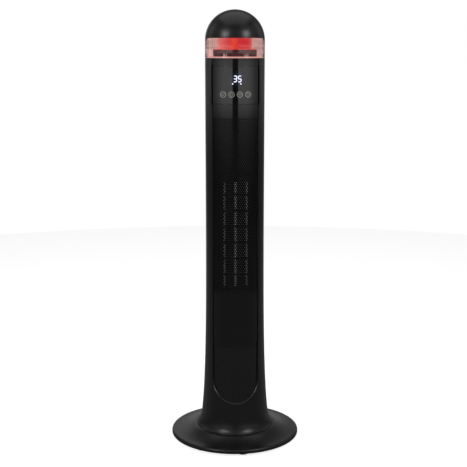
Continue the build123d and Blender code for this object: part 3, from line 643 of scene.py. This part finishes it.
def make_perforation():
    """Rows of hole tiles over the grille's field, bent to the tube."""
    row_step = grille_pitch * math.sqrt(3.0) / 2.0
    field_height = grille_high[2] - grille_low[2] - 2 * grille_rim
    field_width = 2 * grille_half_turn * panel_radius - 2 * grille_rim
    rows = 2 * int(field_height / row_step / 2) + 1
    columns = int(field_width / grille_pitch)
    tile = hole_tile()
    tree = Tree(
        "perforated_sheet",
        [
            ("Tile", "NodeSocketObject", tile),
            ("Columns", "NodeSocketInt", columns),
            ("Rows", "NodeSocketInt", rows),
            ("Pitch", "NodeSocketFloat", grille_pitch),
            ("Row Step", "NodeSocketFloat", row_step),
            ("Radius", "NodeSocketFloat", panel_radius - grille_sink),
            ("Middle", "NodeSocketFloat", (grille_low[2] + grille_high[2]) / 2),
        ],
    )
    pitch, step = tree.given("Pitch"), tree.given("Row Step")
    wide = tree.maths("MULTIPLY", tree.maths("SUBTRACT", tree.given("Columns"), 1.0), pitch)
    tall = tree.maths("MULTIPLY", tree.maths("SUBTRACT", tree.given("Rows"), 1.0), step)
    sockets = {"Size X": wide, "Size Y": tall}
    sockets["Vertices X"] = tree.given("Columns")
    sockets["Vertices Y"] = tree.given("Rows")
    grid = tree.node("GeometryNodeMeshGrid", None, sockets).outputs[0]
    here = tree.node("GeometryNodeInputPosition").outputs[0]
    parts = tree.node("ShaderNodeSeparateXYZ", None, {0: here}).outputs
    row = tree.maths("ROUND", tree.maths("DIVIDE", parts[1], step))
    odd = tree.maths("FLOORED_MODULO", row, 2.0)
    half_pitch = tree.maths("MULTIPLY", pitch, 0.5)
    shift = tree.maths("MULTIPLY", tree.maths("SUBTRACT", odd, 0.5), half_pitch)
    x = tree.maths("ADD", parts[0], shift)
    z = tree.maths("ADD", parts[1], tree.given("Middle"))
    place = tree.node("ShaderNodeCombineXYZ", None, {0: x, 2: z}).outputs[0]
    sockets = {"Geometry": grid, "Position": place}
    points = tree.node("GeometryNodeSetPosition", None, sockets).outputs[0]
    shown = tree.node("GeometryNodeObjectInfo", None, {"Object": tree.given("Tile")})
    sockets = {"Points": points, "Instance": shown.outputs["Geometry"]}
    tiles = tree.node("GeometryNodeInstanceOnPoints", None, sockets).outputs[0]
    sheet = tree.node("GeometryNodeRealizeInstances", None, {0: tiles}).outputs[0]
    bent = bend_to_tube(tree, sheet, tree.given("Radius"))
    sockets = {"Geometry": bent, "Distance": grille_merge}
    joined = tree.node("GeometryNodeMergeByDistance", None, sockets).outputs[0]
    piece = tree.build("grille_perforation", joined, gloss_grille)
    bpy.data.objects.remove(tile)
    return piece


def tube_plate(shape, turns, heights):
    """A closed curved plate in the tube's wall, as a grid of turns and heights."""
    layers = []
    for reach in (panel_radius, panel_radius - grille_rim_depth):
        rows = []
        for height in heights:
            places = [(reach * math.sin(turn), -reach * math.cos(turn), height) for turn in turns]
            rows.append([shape.verts.new(place) for place in places])
        layers.append(rows)
    front, back = layers
    last_side, last_row = len(turns) - 1, len(heights) - 1
    for low in range(last_row):
        for side in range(last_side):
            for rows in layers:
                near, far = rows[low], rows[low + 1]
                shape.faces.new((near[side], near[side + 1], far[side + 1], far[side]))
    for low in range(last_row):
        for side in (0, last_side):
            ends = (front[low][side], front[low + 1][side], back[low + 1][side], back[low][side])
            shape.faces.new(ends)
    for side in range(last_side):
        for low in (0, last_row):
            ends = (front[low][side], front[low][side + 1], back[low][side + 1], back[low][side])
            shape.faces.new(ends)


def spread(low, high, count):
    return [low + (high - low) * index / count for index in range(count + 1)]


gloss_grille = moulded_plastic("gloss_grille", 0.005, 0.22, 0.0)
perforation = make_perforation()
rim_shape = bmesh.new()
inner_turn = grille_half_turn - grille_rim / panel_radius
z_low, z_high = grille_low[2], grille_high[2]
for low_turn, high_turn in ((-grille_half_turn, -inner_turn), (inner_turn, grille_half_turn)):
    tube_plate(rim_shape, spread(low_turn, high_turn, 3), spread(z_low, z_high, 2))
for low, high in ((z_low, z_low + grille_rim), (z_high - grille_rim, z_high)):
    tube_plate(rim_shape, spread(-inner_turn, inner_turn, 40), [low, high])
finish_shape(rim_shape, "grille_rim", "tower", None, gloss_black)
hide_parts("front_grille")
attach(perforation, "tower")


# The heating element: three flat aluminium tubes with ceramic stones inside,
# folded fins between them, a dark heat-proof frame, and a black ribbed guard.
def anodised_tube_painted_glow():
    """Pale anodised metal with a faint even glow painted on as emission, so that it shows bright behind
    the grille.
    """
    paint = Paint("anodised_tube_painted_glow")
    marks = paint.noise(500.0, 3.0)
    base = paint.mix(marks, colour(0.74, 0.74, 0.75), colour(0.90, 0.90, 0.92))
    # The emission colour is a painted glow that stands in for light on the tubes.
    light = paint.mix(marks, colour(0.055, 0.055, 0.056), colour(0.080, 0.080, 0.082))
    sockets = {"Base Color": base, "Roughness": 0.3 + marks * 0.1, "Emission Color": light}
    sockets["Emission Strength"] = 1.0
    return paint.surface(sockets)


dress(anodised_tube_painted_glow(), "heater_bars")
dress(metal("fin_sheet", (0.20, 0.20, 0.21), 0.5, 700.0), "heater_fins")
frame_board = pale_plastic("frame_board", (0.02, 0.02, 0.019), 0.7)
dress(frame_board, "heater_frame")
dress(inner_black, "heater_guard", "fan_duct")
# The thermal cutout is steel. Its dark cast iron finish is painted shade that keeps it as dark as the
# hollow it sits in.
dress(cast_iron, "thermal_cutout")


# The fan: a black cross-flow rotor on a steel shaft, a plain motor can below,
# and a sintered bush above.
dress(inner_black, "fan_rotor")
dress(zinc_steel, "fan_shaft", "fan_motor")
dress(sintered_bronze, "top_bush")


# The boards: green laminate behind the panel and in the ring, a black one that
# holds the power parts, and grey spring pads that sense a finger through the glass.
def board_laminate(name, mask_colour, track_colour):
    paint = Paint(name)
    tracks = paint.noise(220.0, 0.0)
    lines = tracks > 0.52
    base = paint.mix(lines, mask_colour, track_colour)
    sockets = {"Base Color": base, "Roughness": 0.35, "Normal": paint.bump(lines, 0.00003)}
    return paint.surface(sockets)


green_board = board_laminate("green_board", colour(0.012, 0.085, 0.035), colour(0.02, 0.14, 0.06))
black_board = board_laminate("black_board", colour(0.004, 0.006, 0.005), colour(0.008, 0.012, 0.009))
dress(green_board, "display_board", "led_board")
dress(black_board, "power_board")
dress(zinc_steel, "touch_pads")
dress(pale_plastic("relay_blue", (0.010, 0.022, 0.06), 0.4), "power_board_parts")
dress(inner_black, "digit_module")


# The bezel above the grille: one gloss moulding, set into the chassis, that
# holds the control glass and closes the channel up to the ring.
smooth_copy("bezel_moulding", "display_bezel", "tower", gloss_black)


# The control glass: a smoked gloss sheet with ground edges, set into the bezel, with a faint blue glow
# painted on round the digits.
control_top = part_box("control_panel")[1][2]
digit_centre = (0.0033, control_top - 0.0256)
glow_width = 0.011
glow_height = 0.010
glow_strength = 0.05
glass_rear = -0.03
ground_width = 0.0008


def make_touch_glass():
    paint = Paint("touch_glass")
    x, y, z = paint.axes()
    across = (x - digit_centre[0]) / glow_width
    up = (z - digit_centre[1]) / glow_height
    # Painted light: a soft blue pool round the digits, emitted by the glass itself.
    near = math.e ** (-1.0 * (across * across + up * up))
    glow = near * (y < glass_rear) * glow_strength
    light = paint.mix(glow, colour(0.0, 0.0, 0.0), colour(0.35, 0.45, 1.0))
    smudge = paint.noise(35.0, 3.0)
    sockets = {
        "Base Color": colour(0.003, 0.003, 0.004),
        "Roughness": 0.035 + smudge * 0.03,
        "Emission Color": light,
        "Emission Strength": 1.0,
        "IOR": 1.5,
    }
    return paint.surface(sockets)


control_glass = smooth_copy("control_glass", "control_panel", "tower", make_touch_glass())
ground_edge = control_glass.modifiers.new("ground_edge", "BEVEL")
ground_edge.width = ground_width
ground_edge.segments = 2
ground_edge.limit_method = "ANGLE"
ground_edge.angle_limit = math.radians(60.0)
ground_edge.harden_normals = True


def on_glass(x, z, lift):
    """A point on the control glass, raised by a hair so that print shows."""
    reach = panel_radius + lift
    return (x, -math.sqrt(reach * reach - x * x), z)


def stroke(shape, points, width, lift, closed=False):
    """A flat printed line of even width along points on the glass."""
    count = len(points)
    left, right = [], []
    for index, (x, z) in enumerate(points):
        before = points[(index - 1) % count] if closed or index else points[index]
        after = points[(index + 1) % count] if closed or index < count - 1 else points[index]
        dx, dz = after[0] - before[0], after[1] - before[1]
        length = math.hypot(dx, dz)
        nx, nz = -dz / length * width / 2, dx / length * width / 2
        left.append(shape.verts.new(on_glass(x + nx, z + nz, lift)))
        right.append(shape.verts.new(on_glass(x - nx, z - nz, lift)))
    for index in range(count if closed else count - 1):
        after = (index + 1) % count
        shape.faces.new((left[index], left[after], right[after], right[index]))


def circle_points(x, z, radius, start=0.0, end=360.0, steps=40):
    """Points round a circle, or along an arc where start and end differ by less."""
    points = []
    for step in range(steps):
        part = step / (steps if end - start == 360.0 else steps - 1)
        turn = math.radians(start + (end - start) * part)
        points.append((x + radius * math.cos(turn), z + radius * math.sin(turn)))
    return points


def glowing(name, tone, strength):
    """Print or a lamp behind the glass that lights evenly, with soft grain."""
    paint = Paint(name)
    grain = paint.noise(900.0)
    light = paint.mix(grain, colour(*[part * 0.92 for part in tone]), colour(*tone))
    sockets = {"Base Color": colour(0.02, 0.02, 0.02), "Roughness": 0.4}
    sockets["Emission Color"] = light
    sockets["Emission Strength"] = strength
    return paint.surface(sockets)


# The digits: two seven-segment figures and two dots, lit white with a blue
# cast, as they show through the glass.
segments = {
    "3": "abcdg",
    "5": "acdfg",
}
digit_height = 0.0116
digit_width = 0.0060
digit_gap = 0.0032
digit_line = 0.0016
digit_lean = math.tan(math.radians(5.0))
segment_gap = 0.0002
dot_places = (-0.0065, 0.0102)
dot_height = control_top - 0.0355
dot_radius = 0.0013
digit_lift = 0.00006
digit_shape = bmesh.new()


def segment_ends(letter, x, z):
    half_x, half_z = digit_width / 2, digit_height / 2
    ends = {
        "a": ((-half_x, half_z), (half_x, half_z)),
        "b": ((half_x, half_z), (half_x, 0.0)),
        "c": ((half_x, 0.0), (half_x, -half_z)),
        "d": ((-half_x, -half_z), (half_x, -half_z)),
        "f": ((-half_x, half_z), (-half_x, 0.0)),
        "g": ((-half_x, 0.0), (half_x, 0.0)),
    }[letter]
    return [(x + px + pz * digit_lean, z + pz) for px, pz in ends]


def make_segment(start, end):
    """A bar with pointed ends, a hair short of its neighbours."""
    dx, dz = end[0] - start[0], end[1] - start[1]
    length = math.hypot(dx, dz)
    ux, uz = dx / length, dz / length
    half = digit_line / 2
    places = [(segment_gap, 0.0), (half, half), (length - half, half)]
    places += [(length - segment_gap, 0.0), (length - half, -half), (half, -half)]
    corners = []
    for along, aside in places:
        x = start[0] + ux * along - uz * aside
        z = start[1] + uz * along + ux * aside
        corners.append(digit_shape.verts.new(on_glass(x, z, digit_lift)))
    digit_shape.faces.new(corners)


shown_figures = "35"
for index, figure in enumerate(shown_figures):
    middle = digit_centre[0] + (index - 0.5) * (digit_width + digit_gap)
    for letter in segments[figure]:
        make_segment(*segment_ends(letter, middle, digit_centre[1]))
for x in dot_places:
    dot = circle_points(x, dot_height, dot_radius, steps=16)
    digit_shape.faces.new([digit_shape.verts.new(on_glass(px, pz, digit_lift)) for px, pz in dot])
finish_shape(digit_shape, "digits", "tower", None, glowing("digit_light", (0.82, 0.86, 1.0), 1.6))


# The four touch keys: rings with plain signs for swing, power, mode and timer,
# printed on the glass in a warm pale grey over the sensing pads.
key_height = control_top - 0.0571
key_pitch = 0.0171
key_shift = -0.0002
key_radius = 0.0056
key_line = 0.0006
key_lift = 0.00005
sign_line = 0.0004
key_shape = bmesh.new()
swing_key, power_key, mode_key, timer_key = [
    key_shift + (index - 1.5) * key_pitch for index in range(4)
]


def draw_sign(key, points):
    """Prints a line whose points are given from the middle of a key."""
    stroke(key_shape, [(key + x, key_height + z) for x, z in points], sign_line, key_lift)


for key in (swing_key, power_key, mode_key, timer_key):
    stroke(key_shape, circle_points(key, key_height, key_radius), key_line, key_lift, True)
for z in (-0.0013, 0.0013):
    draw_sign(swing_key, [(-0.0032, z), (0.0032, z)])
draw_sign(swing_key, [(0.0018, 0.0026), (0.0032, 0.0013)])
draw_sign(swing_key, [(-0.0018, -0.0026), (-0.0032, -0.0013)])
draw_sign(power_key, circle_points(0.0, 0.0, 0.0029, 125, 415, 24))
draw_sign(power_key, [(0.0, 0.0008), (0.0, 0.0038)])
wave_width = 0.0006
wave_rise = 0.00075
for x in (-0.0022, 0.0, 0.0022):
    wave = []
    for step in range(9):
        wave.append((x + wave_width * math.sin(step * math.pi / 4), (step - 4) * wave_rise))
    draw_sign(mode_key, wave)
draw_sign(timer_key, circle_points(0.0, 0.0, 0.0034, 0, 359, 32))
draw_sign(timer_key, [(0.0, 0.0022), (0.0, 0.0), (0.0017, -0.0008)])
finish_shape(key_shape, "touch_keys", "tower", None, glowing("key_print", (0.46, 0.44, 0.41), 1.0))


# The rear: a slotted intake grille in the shell's window, a fine filter sheet
# behind it, and a small rocker switch near the foot.
smooth_copy("intake_grille", "rear_grille", "tower", satin_black)


def filter_mesh():
    """Woven mesh: threads of a fine square weave."""
    paint = Paint("filter_mesh")
    sockets = {"Vector": paint.place(), "Scale": 300.0}
    upright = paint.node("TexWave", {"bands_direction": "Z"}, sockets)
    across = paint.node("TexWave", {"bands_direction": "X"}, sockets)
    threads = Number(paint, upright.outputs["Fac"]) * Number(paint, across.outputs["Fac"])
    base = paint.mix(threads, colour(0.03, 0.03, 0.032), colour(0.16, 0.165, 0.17))
    weave = paint.bump(threads, 0.0002)
    return paint.surface({"Base Color": base, "Roughness": 0.8, "Normal": weave})


dress(filter_mesh(), "dust_filter")
dress(inner_black, "rocker_housing")
dress(gloss_black, "rocker_button")


# The stepped plinth on top of the tube: gloss black, with the red light of the core above it painted on
# as a dim glow, brighter on its upper edge, and a pale painted glow on the flange under the clear ring.
step_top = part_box("light_core")[0][2]
flange_inner = 0.047
edge_inner = 0.040
edge_depth = 0.0013


def black_with_painted_glow():
    paint = Paint("black_with_painted_glow")
    x, y, z = paint.axes()
    from_axis = (x * x + y * y) ** 0.5
    # Painted light: a dim red glow, a brighter red glow on the upper edge and a pale glow on the flange,
    # all emitted by the plastic.
    painted_edge_glow_mask = (z > step_top - edge_depth) * (from_axis > edge_inner)
    dim = paint.mix(painted_edge_glow_mask, colour(0.060, 0.008, 0.013), colour(1.1, 0.09, 0.09))
    tint = paint.mix(from_axis > flange_inner, dim, colour(1.25, 0.72, 0.66))
    cloud = paint.noise(30.0)
    light = paint.mix(cloud * 0.3, tint, colour(0.02, 0.004, 0.006))
    sockets = {"Base Color": colour(0.01, 0.006, 0.006), "Roughness": 0.25}
    sockets["Emission Color"] = light
    sockets["Emission Strength"] = 1.0
    return paint.surface(sockets)


smooth_copy("plinth_moulding", "ring_plinth", "tower", black_with_painted_glow())


# The clear ring: a polished tube of pale pink acrylic that carries the dome.
# Its four edges are rounded and its wall is clear enough to show the core.
ring_low, ring_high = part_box("clear_ring")
ring_wall = 0.0022
edge_round = 0.0006
soft_edge = 50.0


def make_clear_acrylic():
    paint = Paint("clear_acrylic")
    sockets = {"Base Color": colour(0.68, 0.50, 0.48), "Roughness": 0.02 + paint.noise(50.0) * 0.02}
    sockets["IOR"] = 1.49
    sockets["Transmission Weight"] = 1.0
    sockets["Specular IOR Level"] = 0.25
    return paint.surface(sockets)


ring_outer = ring_high[0]
ring_inner = ring_outer - ring_wall
ring_outline = []
corner_turns = ((ring_outer, ring_high[2], 0), (ring_inner, ring_high[2], 90))
corner_turns += ((ring_inner, ring_low[2], 180), (ring_outer, ring_low[2], 270))
for radius, height, start in corner_turns:
    x = radius - edge_round if radius == ring_outer else radius + edge_round
    z = height - edge_round if height == ring_high[2] else height + edge_round
    ring_outline += arc_points((x, z), edge_round, start, start + 90, 4)
lathe("clear_ring_tube", "tower", "clear_ring", make_clear_acrylic(), ring_outline, 200, soft_edge)


# The light core: a red diffuser tube that glows over the lamp board, with a hot streak in the middle.
# Its pale rim where it turns away and its pale left side are painted reflections of the white studio.
core_low, core_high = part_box("light_core")
core_wall = 0.002
streak_place = -0.003
streak_width = 0.007


def make_red_diffuser():
    paint = Paint("red_diffuser")
    x, _, _ = paint.axes()
    edge_on = paint.node("LayerWeight", None, {"Blend": 0.35})
    facing = Number(paint, edge_on.outputs["Facing"])
    streak = math.e ** (-1.0 * ((x - streak_place) / streak_width) ** 2.0)
    tint = paint.mix(streak * 0.8, colour(0.80, 0.026, 0.035), colour(1.25, 0.12, 0.07))
    # Painted reflection: paler where the tube turns away from the eye and on its left, where the white
    # studio would show.
    tint_with_painted_rim_reflection = paint.mix(facing.ramp(0.15, 0.75), tint, colour(0.85, 0.33, 0.32))
    left = (-1.0 * x).ramp(0.006, 0.034)
    tint_with_painted_left_reflection = paint.mix(left * 0.7, tint_with_painted_rim_reflection, colour(1.1, 0.42, 0.38))
    cloudy = paint.noise(45.0, 3.0)
    light = paint.mix(cloudy * 0.3, tint_with_painted_left_reflection, colour(0.55, 0.02, 0.03))
    sockets = {"Base Color": colour(0.25, 0.01, 0.015), "Roughness": 0.35}
    sockets["Emission Color"] = light
    sockets["Emission Strength"] = 1.0
    return paint.surface(sockets)


core_outer, core_inner = core_high[0], core_high[0] - core_wall
core_outline = [(core_outer, core_low[2]), (core_outer, core_high[2])]
core_outline += [(core_inner, core_high[2]), (core_inner, core_low[2])]
lathe("light_core_tube", "tower", "light_core", make_red_diffuser(), core_outline, 120)


# The dome: a thin smooth cap, the top of a ball as wide as the tube, closed by
# a plate that is screwed to the plinth's post.
dome_low, dome_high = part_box("dome_cap")
dome_radius = ring_outer
dome_wall = 0.0025
dome_inner = dome_radius - dome_wall
dome_centre = dome_high[2] - dome_radius
rim_lift = dome_low[2] - dome_centre
outer_start = math.degrees(math.asin(rim_lift / dome_radius))
inner_start = math.degrees(math.asin(rim_lift / dome_inner))
dome_outline = arc_points((0.0, dome_centre), dome_radius, outer_start, 90.0, 48)
dome_outline[-1] = (0.0, dome_high[2])
inside = arc_points((0.0, dome_centre), dome_inner, 90.0, inner_start, 32)
inside[0] = (0.0, dome_high[2] - dome_wall)
dome_black = moulded_plastic("dome_black", 0.006, 0.32, 0.0)
lathe("dome_moulding", "tower", "dome_cap", dome_black, dome_outline + inside, 160, soft_edge)
dress(inner_black, "dome_plate")
